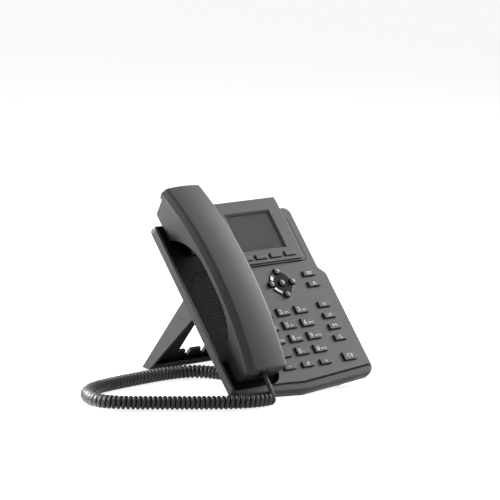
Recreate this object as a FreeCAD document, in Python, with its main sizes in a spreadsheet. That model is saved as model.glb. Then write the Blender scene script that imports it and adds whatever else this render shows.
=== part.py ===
"""Desk IP phone: a tilted keypad housing with a display head, a handset in its cradle,
a curly handset cord and a rear stand.

Most pieces are drawn flat, in the housing's own face frame: u to the right, w up the face and
n out of the face, with the origin at the middle of the navigation pad. One placement then tilts
them onto the table. The stand, the feet and the cord are drawn in the table frame, upright, with
the same origin. Lengths are millimetres.
"""

import FreeCAD, Part
import math
import os
import Sketcher
from FreeCAD import Placement, Rotation, Vector

SIZES = {
    # how the phone stands
    "face_tilt": 50,
    "nav_height": 92,
    "centre_u": -26.65,
    "centre_y": 23.69,
    # housing outline in the face frame
    "body_left": -110,
    "body_right": 56.7,
    "upper_right": 50.5,
    "body_top": 78.5,
    "step_low": 4.5,
    "step_high": 11.5,
    "apex_u": -27,
    "apex_w": -109.9,
    "corner_w": -103.2,
    "rim_depth": 8,
    "lip_depth": 11,
    "lip_rear": -100,
    "facet_run": 6.2,
    "facet_drop": 5,
    "groove_gap": 1.2,
    "groove_width": 1,
    "groove_depth": 0.8,
    "face_wall": 2.4,
    "side_wall": 2.5,
    # cradle trough for the handset
    "trough_left": -107.4,
    "trough_right": -50.5,
    "trough_low": -99.5,
    "trough_depth": 5,
    "grille_u": -77,
    "grille_w": -16,
    "grille_half_u": 20,
    "grille_half_w": 42,
    "grille_hole": 1.5,
    "grille_pitch": 4,
    # back cover
    "tray_depth": 14,
    "tray_inset": 6,
    "bulge_depth": 28,
    "bulge_left": -98,
    "bulge_right": 48,
    "bulge_low": -45,
    "bulge_top": 58,
    "bulge_taper": 8,
    "foot_height": 2.5,
    # display head
    "bezel_left": -43.7,
    "bezel_right": 39.3,
    "bezel_low": 20.9,
    "bezel_top": 90,
    "bezel_rise": 2.6,
    "bezel_drop": 6,
    "border_inset": 1.7,
    "border_step": 1.3,
    "window_left": -27.7,
    "window_right": 22.6,
    "window_low": 37.35,
    "window_top": 75.65,
    "window_bevel": 2,
    "lens_margin": 1.2,
    "lens_thick": 0.9,
    # keys
    "key_rise": 1.7,
    "key_gap": 0.35,
    "key_skirt": 0.8,
    "skirt_top": -2.7,
    "skirt_thick": 0.8,
    "dial_u": -42.55,
    "dial_w": -33.5,
    "dial_pitch_u": 21.43,
    "dial_pitch_w": 14,
    "dial_width": 14.3,
    "dial_height": 8.3,
    "soft_u": -34.6,
    "soft_w": 26.3,
    "soft_pitch": 17.45,
    "soft_width": 12.6,
    "soft_height": 5,
    "nav_radius": 12.5,
    "nav_ball": 3.25,
    "ok_ball": 3.5,
    "dish_radius": 12,
    "dish_seat": 1.6,
    # handset
    "handset_u": -77,
    "arch_radius": 340,
    "arch_w": 4,
    "arch_top": 31,
    "arch_angle": 33,
    "handset_half": 23,
    "crown_half": 19,
    "crown_side": 5,
    "crown_rise": 6.4,
    "crown_soft": 5,
    "end_soft": 1.2,
    "band_height": 6.5,
    "block_half": 20,
    "block_floor": -4.7,
    # cord and plugs
    "coil_diameter": 11.6,
    "lead_diameter": 4,
    "plug_width": 7.6,
    "plug_height": 6.4,
}

doc = FreeCAD.newDocument("desk_phone")
sheet = doc.addObject("Spreadsheet::Sheet", "Sizes")
for row, (alias, value) in enumerate(SIZES.items(), start=1):
    sheet.set(f"A{row}", alias)
    sheet.set(f"B{row}", str(value))
    sheet.setAlias(f"B{row}", alias)
doc.recompute()


def size(alias):
    return float(sheet.get(alias))


TILT = math.radians(size("face_tilt"))
STAND_POINT = Vector(-size("centre_u"), -size("centre_y"), size("nav_height"))
ON_FACE = Placement(STAND_POINT, Rotation(Vector(1, 0, 0), size("face_tilt")))
ON_TABLE = Placement(STAND_POINT, Rotation())
nodes = []


def to_table(w, n):
    """A point of the face frame, as depth and height in the table frame."""
    return (w * math.cos(TILT) - n * math.sin(TILT), w * math.sin(TILT) + n * math.cos(TILT))


def keep(thing, name, placement=ON_FACE):
    """Name a finished piece and put it in its place on the phone."""
    thing.Label = name
    thing.Placement = placement
    nodes.append(thing)
    return thing


def new_body(name):
    return doc.addObject("PartDesign::Body", name + "_body")


def sketch_on(body, role, offset="0"):
    """A sketch on one of the body's own origin planes, moved along its normal."""
    plane = next(part for part in body.Origin.OriginFeatures if part.Role == role)
    sketch = body.newObject("Sketcher::SketchObject", "Sketch")
    sketch.AttachmentSupport = (plane, [""])
    sketch.MapMode = "FlatFace"
    sketch.setExpression("AttachmentOffset.Base.z", offset)
    return sketch


def value_of(text):
    """The number that an expression on the sheet stands for."""
    if not isinstance(text, str):
        return float(text)
    probe = sheet.evalExpression(text)
    return float(getattr(probe, "Value", probe))


def polygon(sketch, corners):
    """A closed outline whose corners are held by expressions on the sheet."""
    points = [Vector(value_of(x), value_of(y), 0) for x, y in corners]
    count = len(points)
    lines = [Part.LineSegment(points[i], points[(i + 1) % count]) for i in range(count)]
    sketch.addGeometry(lines)
    rules = [Sketcher.Constraint("Coincident", i, 2, (i + 1) % count, 1) for i in range(count)]
    held = []
    for i, corner in enumerate(corners):
        for kind, place in zip(("DistanceX", "DistanceY"), corner):
            held.append((len(rules), place))
            rules.append(Sketcher.Constraint(kind, i, 1, value_of(place)))
    sketch.addConstraint(rules)
    for number, place in held:
        if isinstance(place, str):
            sketch.setExpression(f"Constraints[{number}]", place)


def profile(sketch, edges):
    """A free outline of lines and arcs, for forms and holes that the sheet sizes by way of size()."""
    sketch.addGeometry(edges)


def rectangle_lines(left, low, right, top):
    corners = [(left, low), (right, low), (right, top), (left, top)]
    points = [Vector(value_of(x), value_of(y), 0) for x, y in corners]
    return [Part.LineSegment(points[i], points[(i + 1) % 4]) for i in range(4)]


def rectangle(sketch, left, low, right, top):
    polygon(sketch, [(left, low), (right, low), (right, top), (left, top)])


def circle(sketch, u, w, radius):
    sketch.addGeometry(Part.Circle(Vector(value_of(u), value_of(w), 0), Vector(0, 0, 1), value_of(radius)))


def feature(body, kind, sketch, length, reverse=False):
    """A pad or pocket of a sketch, with its length on the sheet."""
    made = body.newObject("PartDesign::" + kind, kind)
    made.Profile = sketch
    made.setExpression("Length", length)
    made.Reversed = reverse
    doc.recompute()
    return made


def pad(body, sketch, length):
    return feature(body, "Pad", sketch, length)


def pocket(body, sketch, length, upwards=False):
    """Cut from the sketch's plane, downwards unless told otherwise."""
    return feature(body, "Pocket", sketch, length, upwards)


def loft(body, sketches, kind="AdditiveLoft"):
    made = body.newObject("PartDesign::" + kind, kind)
    made.Profile = sketches[0]
    made.Sections = sketches[1:]
    made.Ruled = True
    doc.recompute()
    return made


def edges_where(shape, test):
    """Names of the straight or curved edges whose middle and direction pass the test."""
    found = []
    for i, edge in enumerate(shape.Edges, start=1):
        middle = edge.CenterOfMass
        along = edge.tangentAt(edge.FirstParameter)
        if test(middle, along):
            found.append(f"Edge{i}")
    return found


def round_edges(body, base, radius, test):
    made = body.newObject("PartDesign::Fillet", "Fillet")
    made.Base = (base, edges_where(base.Shape, test))
    made.Radius = radius
    doc.recompute()
    return made


def upright_near(*corners, reach=1.5):
    """A test for edges along n that stand at one of the corners."""

    def test(middle, along):
        if abs(along.z) < 0.7:
            return False
        return any(math.hypot(middle.x - u, middle.y - w) < reach for u, w in corners)

    return test


def box(u, w, n, length, width, height):
    """A block from its low corner, with its sizes on the sheet."""
    made = doc.addObject("Part::Box", "Block")
    for name, text in (("Length", length), ("Width", width), ("Height", height)):
        made.setExpression(name, str(text))
    for axis, text in zip("xyz", (u, w, n)):
        made.setExpression("Placement.Base." + axis, str(text))
    return made


def cylinder(u, w, n, radius, height):
    made = doc.addObject("Part::Cylinder", "Drum")
    made.setExpression("Radius", str(radius))
    made.setExpression("Height", str(height))
    for axis, text in zip("xyz", (u, w, n)):
        made.setExpression("Placement.Base." + axis, str(text))
    return made


def fuse(things):
    made = doc.addObject("Part::MultiFuse", "Joined")
    made.Shapes = things
    doc.recompute()
    return made


def group(things):
    """Separate solids under one name, or one block that is placed as a whole."""
    made = doc.addObject("Part::Compound", "Group")
    made.Links = things
    doc.recompute()
    return made


def cut(base, tool):
    made = doc.addObject("Part::Cut", "Cut")
    made.Base = base
    made.Tool = tool
    doc.recompute()
    return made


def soften(base, radius, test):
    made = doc.addObject("Part::Fillet", "Softened")
    made.Base = base
    picked = [int(name[4:]) for name in edges_where(base.Shape, test)]
    made.Edges = [(number, radius, radius) for number in picked]
    doc.recompute()
    return made


# The key layout: name, left edge, lower edge, width, height, all in the face frame.
DIAL_NAMES = [
    ["key_1", "key_2", "key_3"],
    ["key_4", "key_5", "key_6"],
    ["key_7", "key_8", "key_9"],
    ["key_star", "key_0", "key_hash"],
]
FUNCTION_NAMES = ["key_hold", "key_transfer", "key_conference", "key_redial"]
FUNCTION_U = 29.3
FUNCTION_LOWS = (-30.8, -42.8, -54.8, -66.8)
FUNCTION_SIZE = (13.2, 6)
LINE_NAMES = ["key_line_1", "key_line_2"]
LINE_LOWS = (3.4, -8.2)
LINE_SIZE = (13.5, 5.5)
BOTTOM_NAMES = ["key_volume_down", "key_mute", "key_volume_up"]
BOTTOM_U = (-43, -21.5, 0)
BOTTOM_W = -88.3
BOTTOM_SIZE = (13, 5.5)
SPEAKER_KEY = ("key_speaker", 28.6, -88.3, 14.5, 8.5)
SOFT_NAMES = ["key_soft_1", "key_soft_2", "key_soft_3", "key_soft_4"]

face_keys = []
for r, names in enumerate(DIAL_NAMES):
    for c, name in enumerate(names):
        u = f"Sizes.dial_u + {c} * Sizes.dial_pitch_u"
        w = f"Sizes.dial_w - {r} * Sizes.dial_pitch_w"
        face_keys.append((name, u, w, "Sizes.dial_width", "Sizes.dial_height"))
for name, low in zip(FUNCTION_NAMES, FUNCTION_LOWS):
    face_keys.append((name, str(FUNCTION_U), str(low), *map(str, FUNCTION_SIZE)))
for name, low in zip(LINE_NAMES, LINE_LOWS):
    face_keys.append((name, str(FUNCTION_U), str(low), *map(str, LINE_SIZE)))
for name, u in zip(BOTTOM_NAMES, BOTTOM_U):
    face_keys.append((name, str(u), str(BOTTOM_W), *map(str, BOTTOM_SIZE)))
face_keys.append((SPEAKER_KEY[0], *map(str, SPEAKER_KEY[1:])))
soft_keys = []
for i, name in enumerate(SOFT_NAMES):
    u = f"Sizes.soft_u + {i} * Sizes.soft_pitch"
    soft_keys.append((name, u, "Sizes.soft_w", "Sizes.soft_width", "Sizes.soft_height"))
NAV_KEYS = {
    "key_nav_up": (0, 1),
    "key_nav_down": (0, -1),
    "key_nav_left": (-1, 0),
    "key_nav_right": (1, 0),
}


def key_holes(sketch, keys):
    """Clearance holes for a set of rectangular keys."""
    lines = []
    gap = "Sizes.key_gap"
    for _, u, w, width, height in keys:
        left, low = f"{u} - {gap}", f"{w} - {gap}"
        lines += rectangle_lines(left, low, f"{u} + {width} + {gap}", f"{w} + {height} + {gap}")
    profile(sketch, lines)


def nav_holes(sketch):
    """Clearance holes for the four direction keys and the middle key."""
    for side, up in NAV_KEYS.values():
        u = f"{side} * Sizes.nav_radius"
        w = f"{up} * Sizes.nav_radius"
        circle(sketch, u, w, "Sizes.nav_ball + Sizes.key_gap")
    circle(sketch, "0", "0", "Sizes.ok_ball + Sizes.key_gap")


# Front cover: the visible housing, a thin shell with the cradle trough and all the key holes.
def front_cover():
    body = new_body("front_cover")
    outline = sketch_on(body, "XY_Plane", "-Sizes.rim_depth")
    polygon(
        outline,
        [
            ("Sizes.body_left", "Sizes.corner_w"),
            ("Sizes.apex_u", "Sizes.apex_w"),
            ("Sizes.body_right", "Sizes.corner_w"),
            ("Sizes.body_right", "Sizes.step_low"),
            ("Sizes.upper_right", "Sizes.step_high"),
            ("Sizes.upper_right", "Sizes.body_top"),
            ("Sizes.body_left", "Sizes.body_top"),
        ],
    )
    slab = pad(body, outline, "Sizes.rim_depth")
    chin = sketch_on(body, "XY_Plane", "-Sizes.lip_depth")
    polygon(
        chin,
        [
            ("Sizes.body_left", "Sizes.corner_w"),
            ("Sizes.apex_u", "Sizes.apex_w"),
            ("Sizes.body_right", "Sizes.corner_w"),
            ("Sizes.body_right", "Sizes.lip_rear"),
            ("Sizes.body_left", "Sizes.lip_rear"),
        ],
    )
    slab = pad(body, chin, "Sizes.lip_depth - Sizes.rim_depth + 0.5")
    low_corners = upright_near(
        (size("body_left"), size("corner_w")), (size("body_right"), size("corner_w"))
    )
    slab = round_edges(body, slab, 5, low_corners)
    top_corners = upright_near(
        (size("upper_right"), size("body_top")), (size("body_left"), size("body_top"))
    )
    slab = round_edges(body, slab, 7, top_corners)
    step_corners = upright_near(
        (size("body_right"), size("step_low")), (size("upper_right"), size("step_high"))
    )
    round_edges(body, slab, 5, step_corners)

    # The lip's upper facet follows each half of the shallow V along the front edge.
    rise = size("corner_w") - size("apex_w")
    for side, end in ((1, "body_right"), (-1, "body_left")):
        facet = sketch_on(body, "YZ_Plane", "Sizes.apex_u")
        polygon(
            facet,
            [
                ("Sizes.apex_w - 3", "3"),
                ("Sizes.apex_w + Sizes.facet_run * 1.6", "3"),
                ("Sizes.apex_w + Sizes.facet_run", "0"),
                ("Sizes.apex_w", "-Sizes.facet_drop"),
                ("Sizes.apex_w - 3", "-Sizes.facet_drop - 2"),
            ],
        )
        run = abs(size(end) - size("apex_u"))
        slope = body.newObject("PartDesign::Pocket", "Facet")
        slope.Profile = facet
        slope.UseCustomVector = True
        slope.Direction = Vector(side * run, rise, 0)
        slope.Length = run + 12
        slope.AlongSketchNormal = False
        doc.recompute()

    # A fine groove parts the face from the lip, parallel to the front edge.
    groove = sketch_on(body, "XY_Plane")
    low = "Sizes.facet_run + Sizes.groove_gap"
    high = f"{low} + Sizes.groove_width"
    polygon(
        groove,
        [
            ("Sizes.trough_right + 2", f"Sizes.apex_w + {low} + {rise} * 0.2"),
            ("Sizes.apex_u", f"Sizes.apex_w + {low}"),
            ("Sizes.body_right - 2", f"Sizes.corner_w + {low}"),
            ("Sizes.body_right - 2", f"Sizes.corner_w + {high}"),
            ("Sizes.apex_u", f"Sizes.apex_w + {high}"),
            ("Sizes.trough_right + 2", f"Sizes.apex_w + {high} + {rise} * 0.2"),
        ],
    )
    pocket(body, groove, "Sizes.groove_depth")

    # The handset lies in an open-topped trough.
    trough = sketch_on(body, "XY_Plane")
    rectangle(
        trough,
        "Sizes.trough_left",
        "Sizes.trough_low",
        "Sizes.trough_right",
        "Sizes.body_top + 5",
    )
    hollow = pocket(body, trough, "Sizes.trough_depth")
    round_edges(
        body,
        hollow,
        14,
        upright_near((size("trough_right"), size("trough_low"))),
    )

    # Behind the face the shell is hollow, and shallower behind the trough.
    rear = "-Sizes.rim_depth"
    cavity = sketch_on(body, "XY_Plane", rear)
    inner_right = "Sizes.upper_right - Sizes.side_wall"
    rectangle(
        cavity,
        "Sizes.trough_right + Sizes.side_wall",
        "Sizes.lip_rear + Sizes.side_wall",
        inner_right,
        "Sizes.body_top - Sizes.side_wall",
    )
    pocket(body, cavity, "Sizes.rim_depth - Sizes.face_wall", upwards=True)
    behind_trough = sketch_on(body, "XY_Plane", rear)
    rectangle(
        behind_trough,
        "Sizes.trough_left",
        "Sizes.lip_rear + Sizes.side_wall",
        "Sizes.trough_right + Sizes.side_wall + 1",
        "Sizes.body_top - Sizes.side_wall",
    )
    pocket(body, behind_trough, "1", upwards=True)

    # Openings for the keys, the navigation pad, the display, the grille and the hook switch.
    holes = sketch_on(body, "XY_Plane")
    key_holes(holes, face_keys + soft_keys)
    pocket(body, holes, "Sizes.face_wall + 1")
    seat = sketch_on(body, "XY_Plane")
    circle(seat, "0", "0", "Sizes.dish_radius + 0.1")
    pocket(body, seat, "Sizes.dish_seat")
    nav = sketch_on(body, "XY_Plane")
    nav_holes(nav)
    pocket(body, nav, "Sizes.face_wall + 1")
    screen = sketch_on(body, "XY_Plane")
    rectangle(
        screen,
        "Sizes.window_left - 4",
        "Sizes.window_low - 2.5",
        "Sizes.window_right + 4",
        "Sizes.body_top - Sizes.side_wall",
    )
    pocket(body, screen, "Sizes.face_wall + 1")
    opening = sketch_on(body, "XY_Plane")
    rectangle(
        opening,
        "Sizes.grille_u - Sizes.grille_half_u",
        "Sizes.grille_w - Sizes.grille_half_w",
        "Sizes.grille_u + Sizes.grille_half_u",
        "Sizes.grille_w + Sizes.grille_half_w",
    )
    vent = pocket(body, opening, "Sizes.rim_depth + 1")
    ends = [
        (size("grille_u") + i * size("grille_half_u"), size("grille_w") + j * size("grille_half_w"))
        for i in (-1, 1)
        for j in (-1, 1)
    ]
    round_edges(body, vent, size("grille_half_u") - 1, upright_near(*ends))
    hook_hole = sketch_on(body, "XY_Plane")
    rectangle(hook_hole, f"{HOOK_U} - 4.3", f"{HOOK_W} - 6.3", f"{HOOK_U} + 4.3", f"{HOOK_W} + 6.3")
    pocket(body, hook_hole, "Sizes.rim_depth + 1")
    return keep(body, "front_cover")


HOOK_U = -77
HOOK_W = 50
front_cover()


# Speaker grille: a perforated insert in the cradle floor, over the loudspeaker.
def speaker_grille():
    body = new_body("speaker_grille")
    plate = sketch_on(body, "XY_Plane", "-Sizes.trough_depth - 1.8")
    slack = "0.15"
    left, right = "Sizes.grille_u - Sizes.grille_half_u", "Sizes.grille_u + Sizes.grille_half_u"
    low, top = "Sizes.grille_w - Sizes.grille_half_w", "Sizes.grille_w + Sizes.grille_half_w"
    rectangle(
        plate, f"{left} + {slack}", f"{low} + {slack}", f"{right} - {slack}", f"{top} - {slack}"
    )
    sheet_metal = pad(body, plate, "1.6")
    ends = [
        (size("grille_u") + i * size("grille_half_u"), size("grille_w") + j * size("grille_half_w"))
        for i in (-1, 1)
        for j in (-1, 1)
    ]
    round_edges(body, sheet_metal, size("grille_half_u") - 1.15, upright_near(*ends))
    holes = sketch_on(body, "XY_Plane")
    pitch = size("grille_pitch")
    half = size("grille_hole") / 2
    lines = []
    columns = int((size("grille_half_u") - 3) / pitch)
    rows = int((size("grille_half_w") - 4) / pitch)
    for c in range(-columns, columns + 1):
        for r in range(-rows, rows + 1):
            over = max(abs(r * pitch) - size("grille_half_w") + size("grille_half_u"), 0)
            if math.hypot(c * pitch, over) > size("grille_half_u") - 3:
                continue
            u = size("grille_u") + c * pitch
            w = size("grille_w") + r * pitch
            lines += rectangle_lines(u - half, w - half, u + half, w + half)
    profile(holes, lines)
    pocket(body, holes, "Sizes.trough_depth + 3")
    return keep(body, "speaker_grille")


speaker_grille()


# Back cover: a tapered tray with a deeper bulge for the loudspeaker, the board and the sockets.
JACK_REAR = -25
JACK_FRONT = -14.8
JACKS = {
    "handset_jack": (-46, 11.5),
    "headset_jack": (-31, 11.5),
    "power_inlet": (-15.5, 10),
    "network_jacks": (-1.5, 33),
}
FOOT_U = (-78, 24)


def back_cover():
    body = new_body("back_cover")

    def tray(inset, n):
        outline = sketch_on(body, "XY_Plane", n)
        polygon(
            outline,
            [
                (f"Sizes.body_left + {inset}", "Sizes.lip_rear"),
                (f"Sizes.body_right - {inset}", "Sizes.lip_rear"),
                (f"Sizes.body_right - {inset}", "Sizes.step_low - 2"),
                (f"Sizes.upper_right - {inset}", "Sizes.step_high - 2"),
                (f"Sizes.upper_right - {inset}", f"Sizes.body_top - 3 - {inset}"),
                (f"Sizes.upper_right - 3 - {inset}", f"Sizes.body_top - {inset}"),
                (f"Sizes.body_left + 3 + {inset}", f"Sizes.body_top - {inset}"),
                (f"Sizes.body_left + {inset}", f"Sizes.body_top - 3 - {inset}"),
            ],
        )
        return outline

    def bulge(inset, n):
        outline = sketch_on(body, "XY_Plane", n)
        rectangle(
            outline,
            f"Sizes.bulge_left + {inset}",
            "Sizes.bulge_low",
            f"Sizes.bulge_right - {inset}",
            f"Sizes.bulge_top - {inset}",
        )
        return outline

    wall = "Sizes.side_wall"
    loft(body, [tray("0.4", "-Sizes.rim_depth"), tray("Sizes.tray_inset", "-Sizes.tray_depth")])
    loft(
        body,
        [
            bulge("0", "-Sizes.tray_depth + 1"),
            bulge("Sizes.bulge_taper", "-Sizes.bulge_depth"),
        ],
    )
    # Two moulded bosses carry the rubber feet under the front edge.
    for u in FOOT_U:
        boss = sketch_on(body, "XY_Plane", "-Sizes.tray_depth - 13")
        rectangle(boss, f"{u} - 9", "Sizes.lip_rear", f"{u} + 9", "Sizes.lip_rear + 13")
        pad(body, boss, "14")
    # Everything under the feet's seat is cut off level with the table.
    seat = size("foot_height") - size("nav_height")
    below = sketch_on(body, "YZ_Plane", "Sizes.body_left - 10")
    deep = -60
    level = [(n, (seat - n * math.cos(TILT)) / math.sin(TILT)) for n in (0, deep)]
    polygon(below, [(level[0][1], 0), (level[1][1], deep), (level[0][1] - 30, deep)])
    feature(body, "Pocket", below, "Sizes.body_right - Sizes.body_left + 20", True)

    loft(
        body,
        [
            tray(f"0.4 + {wall}", "-Sizes.rim_depth"),
            tray(f"Sizes.tray_inset + {wall} - 1", f"-Sizes.tray_depth + {wall}"),
        ],
        "SubtractiveLoft",
    )
    inside = sketch_on(body, "XY_Plane", f"-Sizes.tray_depth + {wall}")
    rectangle(
        inside,
        f"Sizes.bulge_left + Sizes.bulge_taper + {wall}",
        f"Sizes.bulge_low + {wall}",
        f"Sizes.bulge_right - Sizes.bulge_taper - {wall}",
        f"Sizes.bulge_top - Sizes.bulge_taper - {wall}",
    )
    pocket(body, inside, "Sizes.bulge_depth - Sizes.tray_depth")
    ports = sketch_on(body, "XZ_Plane", "-Sizes.bulge_low")
    mouths = []
    for u, width in JACKS.values():
        mouths += rectangle_lines(u - 0.2, JACK_REAR - 0.2, u + width + 0.2, JACK_FRONT + 0.2)
    profile(ports, mouths)
    feature(body, "Pocket", ports, f"{wall} + 1", False)
    return keep(body, "back_cover")


back_cover()


# Back screws: pan heads that hold the two covers together, as one group.
SCREW_PLACES = [(-80, -38), (30, -38), (-80, 42), (30, 42)]


def back_screws():
    heads = []
    for u, w in SCREW_PLACES:
        head = cylinder(u, w, "-Sizes.bulge_depth - 1.3", 2.6, 1.3)
        heads.append(head)
    return keep(group(heads), "back_screws")


back_screws()


# Rubber feet under the front bosses, and the rubber strip under the stand.
FOOT_PAD = (14, 7)
FOOT_DEPTH = -48


def front_feet():
    pads = []
    for u in FOOT_U:
        block = box(
            u - FOOT_PAD[0] / 2, FOOT_DEPTH, "-Sizes.nav_height", *FOOT_PAD, "Sizes.foot_height"
        )
        pads.append(block)
    return keep(group(pads), "front_feet", ON_TABLE)


front_feet()


# Rear stand: a hollow wedge, open at the front, that clips to the back and takes the cables
# through its window. Drawn as depth and height in the table frame.
STAND_LEFT = -64
STAND_RIGHT = 38
STAND_WALL = 3
STAND_TOP = to_table(33.5, -size("bulge_depth"))
STAND_LOW = to_table(7.9, -size("bulge_depth"))
STAND_SIDE = [STAND_TOP, (127.7, -90.5), (116.2, -90.5), STAND_LOW]
STAND_HOLLOW = [(43, 3), (121.1, -87.5), (103, -87.5), (17.3, -27.6)]
STAND_WINDOW = [(49.4, -8.9), (109.8, -78.9), (118.8, -71.1), (58.4, -1.1)]
WINDOW_STILE = 31
NOTCH_U = (-24, -5.5)
NOTCH_MOUTH = 6.5
NOTCH_FLOOR = 4
NOTCH_DEPTH = 7.5
NOTCH_LEAN = 2.5
STRIP_HEIGHT = 1.5


def leaning_notch(u):
    """A notch that narrows and leans as it goes down, open at the sill."""
    corners = [
        Vector(u, -2, 0),
        Vector(u + NOTCH_MOUTH, -2, 0),
        Vector(u + NOTCH_FLOOR + NOTCH_LEAN, NOTCH_DEPTH, 0),
        Vector(u + NOTCH_LEAN, NOTCH_DEPTH, 0),
    ]
    return [Part.LineSegment(corners[i], corners[(i + 1) % 4]) for i in range(4)]


def stand_frame():
    body = new_body("stand_frame")

    def side_view(u, points):
        sketch = sketch_on(body, "YZ_Plane", str(u))
        polygon(sketch, points)
        return sketch

    wide = STAND_RIGHT - STAND_LEFT
    pad(body, side_view(STAND_LEFT, STAND_SIDE), str(wide))
    inside = side_view(STAND_LEFT + STAND_WALL, STAND_HOLLOW)
    pocket(body, inside, str(wide - 2 * STAND_WALL), upwards=True)
    window = side_view(STAND_LEFT + WINDOW_STILE, STAND_WINDOW)
    pocket(body, window, str(wide - 2 * WINDOW_STILE), upwards=True)
    # Two leaning notches in the sill hold the cables. They are cut square to the rear wall.
    down = Vector(0, STAND_SIDE[1][0] - STAND_TOP[0], STAND_SIDE[1][1] - STAND_TOP[1])
    sill = Vector(0, *STAND_WINDOW[1])
    notches = sketch_on(body, "XY_Plane", str(sill.z))
    square = down.cross(Vector(-1, 0, 0))
    notches.AttachmentOffset = Placement(sill, Rotation(Vector(1, 0, 0), down, square, "XYZ"))
    lines = []
    for u in NOTCH_U:
        lines += leaning_notch(u)
    profile(notches, lines)
    made = feature(body, "Pocket", notches, "30")
    made.Midplane = True
    return keep(body, "stand_frame", ON_TABLE)


stand_frame()
strip = box(STAND_LEFT + 4, 116.8, "-Sizes.nav_height", STAND_RIGHT - STAND_LEFT - 8, 10.4, STRIP_HEIGHT)
keep(group([strip]), "stand_foot_strip", ON_TABLE)


# Display head: bezel with a bevelled window, its lens and the panel behind it.
def display_bezel():
    body = new_body("display_bezel")
    left, low, right, top = [size("bezel_" + side) for side in ("left", "low", "right", "top")]
    step = size("border_inset")

    def level(inset, n):
        outline = sketch_on(body, "XY_Plane", n)
        rectangle(
            outline,
            f"Sizes.bezel_left + {inset}",
            f"Sizes.bezel_low + {inset}",
            f"Sizes.bezel_right - {inset}",
            "Sizes.bezel_top",
        )
        return outline

    # The head rises from the face in two low steps, and hangs over the top edge as a visor.
    pad(body, level("0", "0.02"), "Sizes.bezel_rise - Sizes.border_step")
    head = pad(body, level("Sizes.border_inset", "0.02"), "Sizes.bezel_rise")
    low_corners = upright_near((left, low), (right, low), (left + step, low + step), (right - step, low + step))
    head = round_edges(body, head, 2.5, low_corners)
    visor = sketch_on(body, "XY_Plane", "-Sizes.bezel_drop")
    rectangle(
        visor, "Sizes.bezel_left", "Sizes.body_top + 0.3", "Sizes.bezel_right", "Sizes.bezel_top"
    )
    head = pad(body, visor, "Sizes.bezel_drop + 1")
    round_edges(body, head, 3, upright_near((left, top), (right, top), reach=0.5))

    def window(margin, n):
        sketch = sketch_on(body, "XY_Plane", n)
        rectangle(
            sketch,
            f"Sizes.window_left - {margin}",
            f"Sizes.window_low - {margin}",
            f"Sizes.window_right + {margin}",
            f"Sizes.window_top + {margin}",
        )
        return sketch

    shades = [window("Sizes.window_bevel", "Sizes.bezel_rise + 0.02"), window("0", "Sizes.lens_thick")]
    loft(body, shades, "SubtractiveLoft")
    seat = window("(Sizes.lens_margin + 0.1)", "0")
    pocket(body, seat, "Sizes.lens_thick + 0.05", upwards=True)
    holes = sketch_on(body, "XY_Plane", "5")
    key_holes(holes, soft_keys)
    pocket(body, holes, "8")
    return keep(body, "display_bezel")


display_bezel()
span_u = "(Sizes.window_right - Sizes.window_left)"
span_w = "(Sizes.window_top - Sizes.window_low)"
lens = box(
    "Sizes.window_left - Sizes.lens_margin",
    "Sizes.window_low - Sizes.lens_margin",
    "0.02",
    f"{span_u} + 2 * Sizes.lens_margin",
    f"{span_w} + 2 * Sizes.lens_margin",
    "Sizes.lens_thick",
)
keep(group([lens]), "display_lens")

panel = box(
    "Sizes.window_left - 3",
    "Sizes.window_low - 2",
    "-3.4",
    f"{span_u} + 6",
    f"{span_w} + 2.2",
    "3.1",
)
keep(group([panel]), "lcd_panel")


# Navigation dish: a glossy round plate that the direction keys cut into.
def nav_dish():
    plate = cylinder(0, 0, "-Sizes.dish_seat + 0.05", "Sizes.dish_radius", "Sizes.dish_seat + 0.35")
    drills = [cylinder(0, 0, -4, "Sizes.ok_ball + Sizes.key_gap", 8)]
    for side, up in NAV_KEYS.values():
        place = (f"{side} * Sizes.nav_radius", f"{up} * Sizes.nav_radius")
        drills.append(cylinder(*place, -4, "Sizes.nav_ball + Sizes.key_gap", 8))
    return keep(cut(plate, fuse(drills)), "nav_dish")


nav_dish()


# Keys: each cap stands on a skirt that the cover holds back.
def bar_key(name, u, w, width, height, top):
    skirt = "Sizes.key_skirt"
    base = "Sizes.skirt_top - Sizes.skirt_thick"
    cap = box(u, w, base, width, height, f"{top} - ({base})")
    flange = box(
        f"{u} - {skirt}",
        f"{w} - {skirt}",
        base,
        f"{width} + 2 * {skirt}",
        f"{height} + 2 * {skirt}",
        "Sizes.skirt_thick",
    )
    doc.recompute()
    crest = cap.Shape.BoundBox.ZMax
    rounded = soften(cap, 0.7, lambda middle, along: abs(middle.z - crest) < 0.01)
    return keep(fuse([rounded, flange]), name)


def ball_key(name, u, w, radius):
    base = "Sizes.skirt_top - Sizes.skirt_thick"
    cap = cylinder(u, w, base, radius, f"Sizes.key_rise + 1.6 - ({base})")
    flange = cylinder(u, w, base, f"{radius} + Sizes.key_skirt", "Sizes.skirt_thick")
    doc.recompute()
    crest = cap.Shape.BoundBox.ZMax
    reach = value_of(radius) - 0.25
    domed = soften(cap, reach, lambda middle, along: abs(middle.z - crest) < 0.01)
    return keep(fuse([domed, flange]), name)


for name, u, w, width, height in face_keys:
    bar_key(name, u, w, width, height, "Sizes.key_rise")
for name, u, w, width, height in soft_keys:
    bar_key(name, u, w, width, height, "Sizes.bezel_rise + 1.3")
for name, (side, up) in NAV_KEYS.items():
    ball_key(name, f"{side} * Sizes.nav_radius", f"{up} * Sizes.nav_radius", "Sizes.nav_ball")
ball_key("key_nav_ok", "0", "0", "Sizes.ok_ball")


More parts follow.
